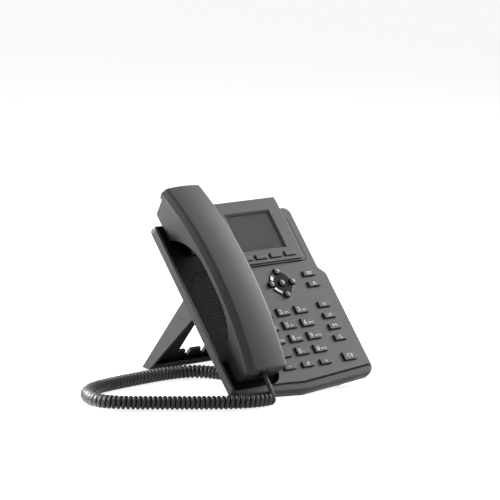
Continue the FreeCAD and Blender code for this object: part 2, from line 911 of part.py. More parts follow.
# Inside: silicone key mat, main board, loudspeaker, and the hook switch under the handset.
keep(group([box(-45, -93, -5.9, 91, 128, 1)]), "keypad_mat")
keep(group([box(-45.5, -95, -7.7, 92, 160, 1.6)]), "main_board")
SPEAKER_RADIUS = 18
MAGNET_RADIUS = 10
speaker = [
    cylinder("Sizes.grille_u", "Sizes.grille_w", -11, SPEAKER_RADIUS, 3.8),
    cylinder("Sizes.grille_u", "Sizes.grille_w", -20, MAGNET_RADIUS, 9.5),
]
keep(fuse(speaker), "loudspeaker")
hook_post = box(HOOK_U - 4, HOOK_W - 6, -9, 8, 12, 7.6)
doc.recompute()
hook_top = hook_post.Shape.BoundBox.ZMax
hook = soften(hook_post, 2, lambda middle, along: abs(middle.z - hook_top) < 0.01 and abs(along.x) > 0.9)
keep(group([hook]), "hook_switch")


# Sockets along the lower wall of the bulge, with their mouths facing down the slope.
JACK_DEPTH = 14
MOUTH_DEPTH = 11
RJ45_MOUTH = (11.8, 7.9)
RJ9_MOUTH = (7.8, 6.6)


def jack(name, mouths, mouth):
    u, width = JACKS[name]
    shell = box(u, "Sizes.bulge_low", JACK_REAR, width, JACK_DEPTH, JACK_FRONT - JACK_REAR)
    middle = (JACK_FRONT + JACK_REAR) / 2
    holes = []
    for i in range(mouths):
        centre = u + width * (i + 0.5) / mouths
        left = centre - mouth[0] / 2
        low = middle - mouth[1] / 2
        holes.append(box(left, "Sizes.bulge_low - 1", low, mouth[0], MOUTH_DEPTH + 1, mouth[1]))
    return keep(cut(shell, fuse(holes) if mouths > 1 else holes[0]), name)


jack("network_jacks", 2, RJ45_MOUTH)
jack("handset_jack", 1, RJ9_MOUTH)
jack("headset_jack", 1, RJ9_MOUTH)


def power_inlet():
    u, width = JACKS["power_inlet"]
    shell = box(u, "Sizes.bulge_low", JACK_REAR, width, JACK_DEPTH, JACK_FRONT - JACK_REAR)
    middle = (JACK_FRONT + JACK_REAR) / 2

    def along_socket(radius, start, length):
        drum = doc.addObject("Part::Cylinder", "Barrel")
        drum.Radius = radius
        drum.Height = length
        place = Vector(u + width / 2, size("bulge_low") + start, middle)
        drum.Placement = Placement(place, Rotation(Vector(1, 0, 0), -90))
        return drum

    bored = cut(shell, along_socket(3.2, -1, 10))
    return keep(fuse([bored, along_socket(1, 0.8, 9)]), "power_inlet")


power_inlet()


# Handset: an arched grip. Both shells are turned about one far axis under the arch, and the
# earpiece and mouthpiece blocks hang from the inner shell.
def arch_sketch(body):
    return sketch_on(body, "XZ_Plane", "-Sizes.arch_w")


def arch_turn(body, kind, sketch, angle):
    axis_n = size("arch_top") - size("arch_radius")
    axis = Part.LineSegment(Vector(-150, axis_n, 0), Vector(-10, axis_n, 0))
    sketch.addGeometry(axis, True)
    made = body.newObject("PartDesign::" + kind, kind)
    made.Profile = sketch
    made.ReferenceAxis = (sketch, ["Axis0"])
    made.setExpression("Angle", angle)
    made.Midplane = True
    doc.recompute()
    return made


def ring_of(points):
    corners = [Vector(size("handset_u") + x, size("arch_top") + y, 0) for x, y in points]
    count = len(corners)
    return [Part.LineSegment(corners[i], corners[(i + 1) % count]) for i in range(count)]


def crown_edges(middle, along):
    """The two long edges where the crown meets its chamfers."""
    at_side = abs(abs(middle.x - size("handset_u")) - size("crown_half")) < 0.5
    return at_side and abs(along.x) < 0.1 and abs(middle.y - size("arch_w")) < 20


def end_edges(middle, along):
    """The edges around the crown at the handset's two ends."""
    at_end = abs(middle.y - size("arch_w")) > 90
    above_seam = middle.z > size("arch_top") - 14.5
    return at_end and above_seam and abs(along.x) > 0.1


def handset_outer():
    body = new_body("handset_outer")
    half, crown = size("handset_half"), size("crown_half")
    side, rise = size("crown_side"), size("crown_rise")
    section = arch_sketch(body)
    u, n = size("handset_u"), size("arch_top")
    corners = [(-crown, side), (-half, 0), (half, 0), (crown, side)]
    lines = ring_of(corners)[:3]
    over = Part.Arc(
        Vector(u + crown, n + side, 0), Vector(u, n + rise, 0), Vector(u - crown, n + side, 0)
    )
    profile(section, lines + [over])
    arch = arch_turn(body, "Revolution", section, "Sizes.arch_angle")
    arch = round_edges(body, arch, size("crown_soft"), crown_edges)
    round_edges(body, arch, size("end_soft"), end_edges)
    inside = arch_sketch(body)
    profile(inside, ring_of([(3 - half, -1), (half - 3, -1), (crown - 2, side - 1.6), (2 - crown, side - 1.6)]))
    arch_turn(body, "Groove", inside, "Sizes.arch_angle - 1.6")
    return keep(body, "handset_outer")


handset_outer()
# Each block is drawn from the side: its outer end, its flat floor, and a hollow sweep into the grip.
EARPIECE = [(33, 26), (80, 21.6), (97.5, 17.2), (97.5, 12.5), (91, -4.7), (62, -4.7)]
EARPIECE_SWEEP = [(62, -4.7), (47, 12.5), (22, 23)]
MOUTHPIECE = [(-36, 24), (-75, 20.8), (-91, 16.8), (-92, 11), (-90, -4.7), (-66, -4.7)]
MOUTHPIECE_SWEEP = [(-66, -4.7), (-51, 11.5), (-24, 22)]


def block_outline(corners, sweep):
    """Straight runs round the block's outside, closed by one arc under the grip."""
    points = [Vector(w, n, 0) for w, n in [sweep[-1]] + corners]
    lines = [Part.LineSegment(a, b) for a, b in zip(points, points[1:])]
    return lines + [Part.Arc(*[Vector(w, n, 0) for w, n in sweep])]


def handset_inner():
    body = new_body("handset_inner")
    half = size("handset_half")
    low = -size("band_height")
    section = arch_sketch(body)
    profile(section, ring_of([(-half + 0.5, -0.05), (-half + 2, low), (half - 2, low), (half - 0.5, -0.05)]))
    arch_turn(body, "Revolution", section, "Sizes.arch_angle")
    for corners, sweep in ((EARPIECE, EARPIECE_SWEEP), (MOUTHPIECE, MOUTHPIECE_SWEEP)):
        sketch = sketch_on(body, "YZ_Plane", "Sizes.handset_u - Sizes.block_half")
        profile(sketch, block_outline(corners, sweep))
        pad(body, sketch, "2 * Sizes.block_half")
    channel = arch_sketch(body)
    profile(channel, ring_of([(-half + 4, 3), (-half + 4, low + 2.2), (half - 4, low + 2.2), (half - 4, 3)]))
    arch_turn(body, "Groove", channel, "Sizes.arch_angle - 2.6")
    wells = sketch_on(body, "XY_Plane", "30")
    lines = []
    for low_w, top_w in ((64, 88), (-88, -67)):
        lines += rectangle_lines(size("handset_u") - 17, low_w, size("handset_u") + 17, top_w)
    profile(wells, lines)
    pocket(body, wells, "30 - Sizes.block_floor - 2.4")
    socket = sketch_on(body, "XZ_Plane", "96")
    u = size("handset_u")
    profile(socket, rectangle_lines(u - 5.6, 5.3, u + 5.6, 15.1))
    feature(body, "Pocket", socket, "16", False)
    return keep(body, "handset_inner")


handset_inner()
keep(group([cylinder("Sizes.handset_u", 76, "Sizes.block_floor + 2.5", 11, 7)]), "handset_receiver")
keep(group([cylinder("Sizes.handset_u", -76, "Sizes.block_floor + 2.5", 4.8, 4.5)]), "handset_mic")
socket_shell = box("Sizes.handset_u - 5.5", -92, 5.4, 11, 11.5, 9.6)
socket_hole = box("Sizes.handset_u - 3.9", -93, 6.9, 7.8, 10.5, 6.6)
keep(cut(socket_shell, socket_hole), "handset_socket")
PLUG_LENGTH = 11


def plug(name, u, w, n):
    """A modular plug, set in its socket with a little play."""
    body = box(u - 3.8, w, n - 3.2, "Sizes.plug_width", PLUG_LENGTH, "Sizes.plug_height")
    return keep(group([body]), name)


plug("plug_handset", -77, -93.5, 10.2)
plug("plug_base", -40.25, -46, -19.9)


# Curly cord: a fat tube for the coil and a thin lead at each end, with arcs as large as the runs allow.
COIL_Z = -85.9
COIL_ROUTE = [
    (-72, -76),
    (-92, -76.5),
    (-113, -68),
    (-138, -49),
    (-171, -21.5),
    (-195, 0),
    (-203, 22),
    (-192, 45),
    (-172, 61),
    (-146, 66.5),
    (-112, 70),
    (-82, 72),
    (-60, 68),
    (-46, 56),
    (-39, 40),
    (-37.5, 26),
]
LEAD_HANDSET = [to_table(-93.5, 10.2), to_table(-104, 10.2), to_table(-110.5, 8.5)]


def rounded_wire(points):
    """Straight runs joined by tangent arcs, each as large as its two runs allow."""
    edges = []
    start = points[0]
    for before, corner, after in zip(points, points[1:], points[2:]):
        into = corner - before
        out = after - corner
        turn = into.getAngle(out)
        reach = 0.45 * min(into.Length, out.Length)
        print(f"cord radius {reach / math.tan(turn / 2):.0f}")
        into.normalize()
        out.normalize()
        first = corner - into * reach
        last = corner + out * reach
        depth = reach / math.tan(turn / 2) * (1 / math.cos(turn / 2) - 1)
        towards = out - into
        towards.normalize()
        middle = corner + towards * depth
        edges.append(Part.LineSegment(start, first).toShape())
        edges.append(Part.Arc(first, middle, last).toShape())
        start = last
    edges.append(Part.LineSegment(start, points[-1]).toShape())
    return Part.Wire(edges)


def tube(name, points, diameter):
    wire = rounded_wire(points)
    along = points[1] - points[0]
    ring = Part.Wire([Part.Circle(points[0], along, diameter / 2).toShape()])
    piece = doc.addObject("Part::Feature", "Tube")
    piece.Shape = wire.makePipeShell([ring], True, True)
    expected = math.pi * diameter**2 / 4 * wire.Length
    print(f"{name} length {wire.Length:.0f} volume share {piece.Shape.Volume / expected:.3f}")
    return keep(piece, name, ON_TABLE)


coil = [Vector(x, y, COIL_Z) for x, y in COIL_ROUTE]
tube("cord_coil", coil, size("coil_diameter"))
lead = [Vector(-77, *LEAD_HANDSET[0]), Vector(-77, *LEAD_HANDSET[1]), Vector(-75.5, -82.4, -83)]
tube("cord_lead_handset", lead, size("lead_diameter"))
plug_tail = to_table(-46, -19.9)
LEAD_BASE = [
    Vector(-37.5, 26, COIL_Z),
    Vector(-37.5, 14, -86.5),
    Vector(-37.6, 0, -89),
    Vector(-38, -14, -87.5),
    Vector(-38.6, -24, -80),
    Vector(-39.4, -27, -69),
    Vector(-40.1, -22.5, -59.4),
    Vector(-40.25, *plug_tail),
]
tube("cord_lead_base", LEAD_BASE, size("lead_diameter"))

# Nothing is written unless every piece is sound.
doc.recompute()
for thing in doc.Objects:
    if "Invalid" in thing.State or "Error" in thing.State:
        raise RuntimeError(f"{thing.Label} did not build")
for node in nodes:
    if node.Shape.isNull() or not node.Shape.isValid() or not node.Shape.Solids:
        raise RuntimeError(f"{node.Label} is not a sound solid")
os.makedirs("parts", exist_ok=True)
for node in nodes:
    node.Shape.exportStep(f"parts/{node.Label}.step")
print(len(nodes), "pieces")
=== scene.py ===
"""Desk phone with a tilted keypad housing, a handset in its cradle, a curly cord and a rear stand."""
import math

import bmesh
import bpy
from mathutils import Matrix, Vector


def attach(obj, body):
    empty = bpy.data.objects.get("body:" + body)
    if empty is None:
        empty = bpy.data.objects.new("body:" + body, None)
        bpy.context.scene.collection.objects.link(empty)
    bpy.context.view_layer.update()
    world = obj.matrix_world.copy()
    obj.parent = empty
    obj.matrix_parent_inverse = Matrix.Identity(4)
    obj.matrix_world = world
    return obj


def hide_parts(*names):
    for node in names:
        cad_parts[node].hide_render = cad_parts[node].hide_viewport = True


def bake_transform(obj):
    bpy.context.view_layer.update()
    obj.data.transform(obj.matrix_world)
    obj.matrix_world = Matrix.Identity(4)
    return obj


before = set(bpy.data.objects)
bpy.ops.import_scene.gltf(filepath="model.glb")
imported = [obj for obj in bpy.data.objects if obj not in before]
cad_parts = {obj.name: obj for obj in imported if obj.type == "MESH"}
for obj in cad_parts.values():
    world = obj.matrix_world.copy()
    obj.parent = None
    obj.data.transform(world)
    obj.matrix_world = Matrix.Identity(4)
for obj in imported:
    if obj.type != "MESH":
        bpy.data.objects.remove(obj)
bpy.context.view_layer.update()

# Covers and stand: charcoal ABS, injection moulded in spark-eroded tools, so every face has a fine
# even grain. The two shells are screwed together from behind and the stand clips to the back.
GRAIN_SIZE = 0.0004
GRAIN_DEPTH = 0.00005
PIT_DETAIL = 3
CLOUD_SCALE = 45
CLOUD_DETAIL = 4
GLOSS_SPREAD = 0.14
EDGE_RADIUS = 0.0004
EDGE_SAMPLES = 6
HOUSING_GREY = (0.145, 0.146, 0.149, 1)
HOUSING_NODES = ("front_cover", "back_cover", "stand_frame", "display_bezel")


def group_socket(group, name, kind, side, value=None):
    """One named input or output of a shader group."""
    made = group.interface.new_socket(name=name, in_out=side, socket_type=kind)
    if value is not None:
        made.default_value = value
    return made


def moulded_grain_group():
    """Grain of a moulded surface: mottled colour, uneven gloss and a fine height."""
    group = bpy.data.node_groups.new("moulded_grain", "ShaderNodeTree")
    group_socket(group, "Color", "NodeSocketColor", "INPUT", (0.5, 0.5, 0.5, 1))
    group_socket(group, "Grain", "NodeSocketFloat", "INPUT", 2500)
    group_socket(group, "Gloss", "NodeSocketFloat", "INPUT", 0.5)
    group_socket(group, "Mottle", "NodeSocketFloat", "INPUT", 0.12)
    group_socket(group, "Color", "NodeSocketColor", "OUTPUT")
    group_socket(group, "Roughness", "NodeSocketFloat", "OUTPUT")
    group_socket(group, "Height", "NodeSocketFloat", "OUTPUT")
    nodes = group.nodes
    links = group.links
    entry = nodes.new("NodeGroupInput")
    leave = nodes.new("NodeGroupOutput")
    place = nodes.new("ShaderNodeTexCoord")
    pits = nodes.new("ShaderNodeTexNoise")
    pits.inputs["Detail"].default_value = PIT_DETAIL
    links.new(place.outputs["Object"], pits.inputs["Vector"])
    links.new(entry.outputs["Grain"], pits.inputs["Scale"])
    clouds = nodes.new("ShaderNodeTexNoise")
    clouds.inputs["Scale"].default_value = CLOUD_SCALE
    clouds.inputs["Detail"].default_value = CLOUD_DETAIL
    links.new(place.outputs["Object"], clouds.inputs["Vector"])
    both = nodes.new("ShaderNodeMath")
    both.operation = "ADD"
    links.new(pits.outputs["Fac"], both.inputs[0])
    links.new(clouds.outputs["Fac"], both.inputs[1])
    tone = nodes.new("ShaderNodeMath")
    tone.operation = "MULTIPLY_ADD"
    links.new(both.outputs["Value"], tone.inputs[0])
    links.new(entry.outputs["Mottle"], tone.inputs[1])
    tone.inputs[2].default_value = 1
    lift = nodes.new("ShaderNodeMath")
    lift.operation = "SUBTRACT"
    links.new(tone.outputs["Value"], lift.inputs[0])
    links.new(entry.outputs["Mottle"], lift.inputs[1])
    tint = nodes.new("ShaderNodeVectorMath")
    tint.operation = "SCALE"
    links.new(entry.outputs["Color"], tint.inputs[0])
    links.new(lift.outputs["Value"], tint.inputs["Scale"])
    links.new(tint.outputs["Vector"], leave.inputs["Color"])
    polish = nodes.new("ShaderNodeMath")
    polish.operation = "MULTIPLY_ADD"
    links.new(clouds.outputs["Fac"], polish.inputs[0])
    polish.inputs[1].default_value = GLOSS_SPREAD
    links.new(entry.outputs["Gloss"], polish.inputs[2])
    links.new(polish.outputs["Value"], leave.inputs["Roughness"])
    links.new(pits.outputs["Fac"], leave.inputs["Height"])
    return group


moulded_grain = moulded_grain_group()


def moulded(name, colour, gloss, depth=0.25, shine=0.5, mottle=0.12, edge_radius=EDGE_RADIUS):
    """A moulded plastic or rubber with the shared grain."""
    material = bpy.data.materials.new(name)
    material.use_nodes = True
    nodes = material.node_tree.nodes
    links = material.node_tree.links
    shader = nodes["Principled BSDF"]
    shader.inputs["Specular IOR Level"].default_value = shine
    skin = nodes.new("ShaderNodeGroup")
    skin.node_tree = moulded_grain
    skin.inputs["Color"].default_value = colour
    skin.inputs["Grain"].default_value = 1 / GRAIN_SIZE
    skin.inputs["Gloss"].default_value = gloss
    skin.inputs["Mottle"].default_value = mottle
    edge = nodes.new("ShaderNodeBevel")
    edge.samples = EDGE_SAMPLES
    edge.inputs["Radius"].default_value = edge_radius
    bump = nodes.new("ShaderNodeBump")
    bump.inputs["Strength"].default_value = depth
    bump.inputs["Distance"].default_value = GRAIN_DEPTH
    links.new(edge.outputs["Normal"], bump.inputs["Normal"])
    links.new(skin.outputs["Color"], shader.inputs["Base Color"])
    links.new(skin.outputs["Roughness"], shader.inputs["Roughness"])
    links.new(skin.outputs["Height"], bump.inputs["Height"])
    links.new(bump.outputs["Normal"], shader.inputs["Normal"])
    return material


def finish_node(name, material):
    """Gives a CAD node its finish."""
    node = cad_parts[name]
    node.data.materials.clear()
    node.data.materials.append(material)
    return node


# Places on the phone are millimetres in the frame of its tilted face: across, up the face and out of it.
MM = 0.001
FACE_ORIGIN = Vector((26.65, -23.69, 92))
FACE_TILT = math.radians(50)
FACE = Matrix.Translation(FACE_ORIGIN * MM) @ Matrix.Rotation(FACE_TILT, 4, "X") @ Matrix.Scale(MM, 4)
TO_FACE = FACE.inverted()
OUT = (FACE.to_3x3() @ Vector((0, 0, 1))).normalized()

housing_plastic = moulded("housing_plastic", HOUSING_GREY, 0.42, shine=0.25)
# Black for the cradle trough, and the same black as painted shade in grooves, gaps and hollows.
black_and_painted_shade = moulded("black_and_painted_shade", (0.006, 0.006, 0.007, 1), 0.55, shine=0.06)
# Painted shade: near-black for the stand's walls that look forward under the phone.
stand_painted_shade = moulded("stand_painted_shade", (0.012, 0.012, 0.013, 1), 0.6, shine=0.06)
for name in HOUSING_NODES:
    finish_node(name, housing_plastic)


def second_finish(name, material, chosen):
    """Gives the faces of a CAD node that pass the test another finish."""
    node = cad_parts[name]
    node.data.materials.append(material)
    for face in node.data.polygons:
        if chosen(TO_FACE @ face.center, face.normal):
            face.material_index = len(node.data.materials) - 1


# Cradle: the trough for the handset, moulded in one with the front cover; its floor and walls alike are
# given the black finish. The same black is laid as painted shade on the floor of the groove at the lip and
# on the outer walls of the display head's step, and a near-black as painted shade on the stand's hollow.
CRADLE_SIDES = (-107.6, -50.3)
CRADLE_FOOT = -99.7
CRADLE_HEIGHTS = (-6.4, -0.1)
LIP_GROOVE = -85
GROOVE_HEIGHTS = (-1, -0.05)
HEAD_STEP = {"right": 30, "low": 30}
UNDERSIDE = -0.5
UPPER_SIDE = 0.1
STEEP = 0.4
STAND_FRONT = -0.35


def in_cradle(place, normal):
    """True on the floor and the walls of the trough."""
    across = CRADLE_SIDES[0] < place.x < CRADLE_SIDES[1]
    deep = CRADLE_HEIGHTS[0] < place.z < CRADLE_HEIGHTS[1]
    return across and deep and place.y > CRADLE_FOOT and normal.dot(OUT) > UNDERSIDE


def in_lip_groove_shade(place, normal):
    """True on the floor of the groove that parts the face from the lip, which is painted black as shade.
    """
    if place.x < CRADLE_SIDES[1] or place.y > LIP_GROOVE:
        return False
    return GROOVE_HEIGHTS[0] < place.z < GROOVE_HEIGHTS[1] and normal.dot(OUT) > UPPER_SIDE


def in_head_step_shade(place, normal):
    """True on the outer walls of the display head, below and right of its window, which are painted black
    as shade.
    """
    outer = place.x > HEAD_STEP["right"] or place.y < HEAD_STEP["low"]
    return outer and place.z > 0 and abs(normal.dot(OUT)) < STEEP


def in_stand_shade(place, normal):
    """True on the walls of the stand that look forward, under the phone, which are painted near-black as
    shade.
    """
    return normal.y < STAND_FRONT


second_finish("front_cover", black_and_painted_shade, in_cradle)
# Painted shade: the floor of the lip groove takes the black.
second_finish("front_cover", black_and_painted_shade, in_lip_groove_shade)
# Painted shade: the outer walls of the display head's step take the black.
second_finish("display_bezel", black_and_painted_shade, in_head_step_shade)
# Painted shade: the stand's forward walls under the phone take the near-black.
second_finish("stand_frame", stand_painted_shade, in_stand_shade)

# Shadow gap: a black strip on the face along the low and right sides of the display head, painted shade of
# the joint where the head's frame is let into the front cover. Its corners are round.
GAP_LINE = {"left": -46, "right": 43.3, "low": 20.6, "top": 67.4}
GAP_CORNER = 3.5
GAP_CORNER_STEPS = 6
GAP_WIDTH = 0.6
GAP_HEIGHT = 0.05
GAP_DEPTH = 0.04
CORNERS = (("left", "low"), ("right", "low"), ("right", "top"), ("left", "top"))
SIDE_REACH = 1


def finished_mesh(name, shape, material, body, place=FACE):
    """Turns a shape drawn in the face frame, in millimetres, into a piece that rides on a body."""
    bmesh.ops.transform(shape, matrix=place, verts=shape.verts)
    mesh = bpy.data.meshes.new(name)
    shape.to_mesh(mesh)
    shape.free()
    mesh.materials.append(material)
    piece = bpy.data.objects.new(name, mesh)
    bpy.context.scene.collection.objects.link(piece)
    if body:
        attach(piece, body)
    return piece


def outlined(sides, height):
    """A flat rectangle of the face as a new shape."""
    shape = bmesh.new()
    shape.faces.new([shape.verts.new((sides[across], sides[up], height)) for across, up in CORNERS])
    return shape


def border(shape, sides, width, depth, bare):
    """Leaves a thin strip along the edge of a flat shape, apart from its bare sides."""
    bmesh.ops.inset_region(shape, faces=shape.faces[:], thickness=width, use_boundary=True)
    spare = [max(shape.faces, key=lambda face: face.calc_area())]
    for face in shape.faces:
        at = face.calc_center_median()
        lies_along = {
            "left": at.x < sides["left"] + SIDE_REACH,
            "low": at.y < sides["low"] + SIDE_REACH,
            "top": at.y > sides["top"] - SIDE_REACH,
        }
        if any(lies_along[side] for side in bare):
            spare.append(face)
    bmesh.ops.delete(shape, geom=list(set(spare)), context="FACES")
    bmesh.ops.recalc_face_normals(shape, faces=shape.faces[:])
    bmesh.ops.solidify(shape, geom=shape.faces[:], thickness=depth)


gap_shade = outlined(GAP_LINE, GAP_HEIGHT)
lowest = min(vertex.co.y for vertex in gap_shade.verts)
bmesh.ops.bevel(
    gap_shade,
    geom=[vertex for vertex in gap_shade.verts if vertex.co.y == lowest],
    offset=GAP_CORNER,
    segments=GAP_CORNER_STEPS,
    profile=0.5,
    affect="VERTICES",
    material=-1,
)
border(gap_shade, GAP_LINE, GAP_WIDTH, GAP_DEPTH, bare=("left", "top"))
# Painted shade: a flat black strip laid over the face along the head's joint.
head_gap_shade = finished_mesh("head_gap_shade", gap_shade, black_and_painted_shade, "base")

# Lip groove shade: a thin black strip laid on the face along the groove that parts the face from the lip,
# from the foot of the cradle to the right edge, as painted shade of the groove.
GROOVE_SHADE_LOW = [(-64, -101), (-48.5, -102), (-27, -103.4), (54.7, -96.7)]
GROOVE_SHADE_TOP = [(54.7, -94.5), (-27, -101.2), (-48.5, -99.8), (-64, -99.4)]
GROOVE_SHADE_HEIGHT = 0.06
GROOVE_SHADE_DEPTH = 0.05
groove_shade = bmesh.new()
groove_shade.faces.new([groove_shade.verts.new((u, w, GROOVE_SHADE_HEIGHT)) for u, w in GROOVE_SHADE_LOW + GROOVE_SHADE_TOP])
bmesh.ops.recalc_face_normals(groove_shade, faces=groove_shade.faces[:])
bmesh.ops.solidify(groove_shade, geom=groove_shade.faces[:], thickness=GROOVE_SHADE_DEPTH)
# Painted shade: the black strip stands for the dark of the lip groove.
lip_groove_shade = finished_mesh("lip_groove_shade", groove_shade, black_and_painted_shade, "base")

# Lip nose: the front cover's own grey plastic, carried on past the painted groove shade in almost the
# plane of the face before it turns under. It is moulded in one with the lip's sloping facet. Each outline
# across it gives the place along the lip, then its upper edge, its brow, its lower edge and its seat, as
# up and out.
NOSE_RUN = [
    (-107.4, (-99.6, -0.45), (-100.7, -1.1), (-102.8, -4.7), (-99.6, -2)),
    (-104.3, (-99.6, -0.4), (-102.3, -0.95), (-103.6, -5.1), (-99.6, -1.9)),
    (-79, (-99.55, -0.05), (-104.45, -0.95), (-105.7, -5.1), (-99.55, -0.5)),
    (-64, (-100.4, -0.02), (-105.65, -0.95), (-106.9, -5.1), (-100.4, -0.4)),
    (-27, (-103.4, -0.02), (-108.6, -0.95), (-109.85, -5.1), (-103.4, -0.4)),
    (51, (-97.2, -0.02), (-102.3, -0.95), (-103.6, -5.1), (-97.2, -0.4)),
    (54.4, (-97, -0.02), (-100.6, -1.1), (-102.7, -4.7), (-97, -0.4)),
    (56.2, (-97, -0.1), (-98.6, -1.3), (-101, -3.5), (-97, -0.4)),
]
NOSE_CORNER = [
    (-109.5, (-97, -0.1), (-98.6, -1.3), (-101, -3.5), (-97, -0.4)),
    (-107.4, (-97, -0.02), (-100.7, -1.1), (-102.8, -4.7), (-97, -0.4)),
]
nose = bmesh.new()
for outlines in (NOSE_RUN, NOSE_CORNER):
    u, *first = outlines[0]
    end = nose.faces.new([nose.verts.new((u, w, n)) for w, n in first])
    for u, *outline in outlines[1:]:
        run = bmesh.ops.extrude_discrete_faces(nose, faces=[end])
        end = run["faces"][0]
        for vertex, (w, n) in zip(end.verts, outline):
            vertex.co = (u, w, n)
bmesh.ops.holes_fill(nose, edges=nose.edges[:])
bmesh.ops.recalc_face_normals(nose, faces=nose.faces[:])
lip_nose = finished_mesh("lip_nose", nose, housing_plastic, "base")

# Screws and feet: zinc-plated pan heads in the back cover, and soft rubber pads under the front
# bosses and the stand, which keep the phone from sliding.
zinc = moulded("zinc_plate", (0.5, 0.5, 0.49, 1), 0.25, 0.1)
zinc.node_tree.nodes["Principled BSDF"].inputs["Metallic"].default_value = 1
finish_node("back_screws", zinc)
SCREW_PLACES = [(-80, -38), (30, -38), (-80, 42), (30, 42)]
SCREW_TOP = -29.3
RECESS = (3.2, 0.8, 0.06)
RECESS_TURNS = (45, 135)
# Painted shade: a thin black cross on each screw head stands for the dark of its cross recess; no recess
# is cut.
recess_shade = bmesh.new()
for u, w in SCREW_PLACES:
    for turned_by in RECESS_TURNS:
        slot = bmesh.ops.create_cube(recess_shade, size=1)
        bmesh.ops.scale(recess_shade, vec=RECESS, verts=slot["verts"])
        spin = Matrix.Rotation(math.radians(turned_by), 3, "Z")
        bmesh.ops.rotate(recess_shade, cent=(0, 0, 0), matrix=spin, verts=slot["verts"])
        bmesh.ops.translate(recess_shade, vec=(u, w, SCREW_TOP), verts=slot["verts"])
screw_recess_shade = finished_mesh("screw_recess_shade", recess_shade, black_and_painted_shade, "base")
foot_rubber = moulded("foot_rubber", (0.035, 0.035, 0.036, 1), 0.7, 0.5)
finish_node("front_feet", foot_rubber)
finish_node("stand_foot_strip", foot_rubber)

# Loudspeaker grille: a perforated black panel in the floor of the cradle, over the loudspeaker.
# Its square holes stand in even rows inside a plain rim.
GRILLE_MIDDLE = Vector((-77, -16, 0))
GRILLE_HALF = (19.8, 41.8)
GRILLE_RIM = 3
GRILLE_PITCH = 2.4
GRILLE_BAR = 0.42
GRILLE_TOP = -5.25
GRILLE_FLOOR = -6.6
GRILLE_SEGMENTS = 64
SCREEN_OVERLAP = 1
SCREEN_DROP = 0.15
SCREEN_DEPTH = 0.5
LONG_SIDE = 0.9 * GRILLE_PITCH


def inside_oval(u, w, half_u, half_w):
    """True inside an upright oval with round ends."""
    over = max(abs(w) - (half_w - half_u), 0)
    return math.hypot(u, over) < half_u


grille = bmesh.new()
bmesh.ops.create_circle(grille, cap_ends=True, segments=GRILLE_SEGMENTS, radius=GRILLE_HALF[0])
for vertex in grille.verts:
    vertex.co.y += math.copysign(GRILLE_HALF[1] - GRILLE_HALF[0], vertex.co.y)
    vertex.co.z = GRILLE_TOP
    vertex.co += GRILLE_MIDDLE
bmesh.ops.inset_region(grille, faces=grille.faces[:], thickness=GRILLE_RIM, use_boundary=True)
middle = max(grille.faces, key=lambda face: len(face.verts))
walls = bmesh.ops.extrude_face_region(grille, geom=[middle])
deep = [item for item in walls["geom"] if isinstance(item, bmesh.types.BMVert)]
bmesh.ops.translate(grille, verts=deep, vec=(0, 0, GRILLE_FLOOR - GRILLE_TOP))
bmesh.ops.delete(grille, geom=[middle], context="FACES_ONLY")
bmesh.ops.recalc_face_normals(grille, faces=grille.faces[:])
grille_plate = finished_mesh("grille_plate", grille, black_and_painted_shade, "base")
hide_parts("speaker_grille")

screen = bmesh.new()
columns = round(2 * GRILLE_HALF[0] / GRILLE_PITCH)
rows = round(2 * GRILLE_HALF[1] / GRILLE_PITCH)
bmesh.ops.create_grid(screen, x_segments=columns, y_segments=rows, size=0.5)
stretch = Vector((columns * GRILLE_PITCH, rows * GRILLE_PITCH, 1))
bmesh.ops.scale(screen, vec=stretch, verts=screen.verts)
room = [half - GRILLE_RIM + SCREEN_OVERLAP for half in GRILLE_HALF]
centres = [(face, face.calc_center_median()) for face in screen.faces]
outside = [face for face, at in centres if not inside_oval(at.x, at.y, *room)]
bmesh.ops.delete(screen, geom=outside, context="FACES")
bmesh.ops.inset_individual(screen, faces=screen.faces[:], thickness=GRILLE_BAR)
holes = [face for face in screen.faces if max(edge.calc_length() for edge in face.edges) <= LONG_SIDE]
bmesh.ops.delete(screen, geom=holes, context="FACES")
seat = GRILLE_MIDDLE + Vector((0, 0, GRILLE_TOP - SCREEN_DROP))
bmesh.ops.translate(screen, verts=screen.verts, vec=seat)
bmesh.ops.solidify(screen, geom=screen.faces[:], thickness=SCREEN_DEPTH)
grille_black = moulded("grille_black", (0.045, 0.045, 0.046, 1), 0.5, shine=0.1)
grille_screen = finished_mesh("grille_screen", screen, grille_black, "base")

# Display head: a clear moulded lens glued into the bezel's bevelled window, and the dark display panel
# that is clipped to the back of the bezel, close behind the lens.
lens_glass = bpy.data.materials.new("lens_glass")
lens_glass.use_nodes = True
lens_shader = lens_glass.node_tree.nodes["Principled BSDF"]
lens_shader.inputs["Base Color"].default_value = (0.55, 0.56, 0.57, 1)
lens_shader.inputs["Roughness"].default_value = 0.03
lens_shader.inputs["Transmission Weight"].default_value = 1
lens_shader.inputs["IOR"].default_value = 1.3
lens_shader.inputs["Specular IOR Level"].default_value = 0.1
finish_node("display_lens", lens_glass)
panel_dark = moulded("panel_dark", (0.232, 0.232, 0.238, 1), 0.45, 0.02, shine=0.05, mottle=0.05)
finish_node("lcd_panel", panel_dark)

# Lens edge shade: a black strip laid on the lens along the window's upper and right walls, as painted
# shade of those walls.
WINDOW = {"left": -27.7, "right": 22.6, "low": 37.35, "top": 75.65}
EDGE_SHADE_WIDTH = 0.8
EDGE_SHADE_HEIGHT = 0.95
EDGE_SHADE_DEPTH = 0.04
edge_shade = outlined(WINDOW, EDGE_SHADE_HEIGHT)
border(edge_shade, WINDOW, EDGE_SHADE_WIDTH, EDGE_SHADE_DEPTH, bare=("left", "low"))
lens_edge_shade = finished_mesh("lens_edge_shade", edge_shade, black_and_painted_shade, "base")

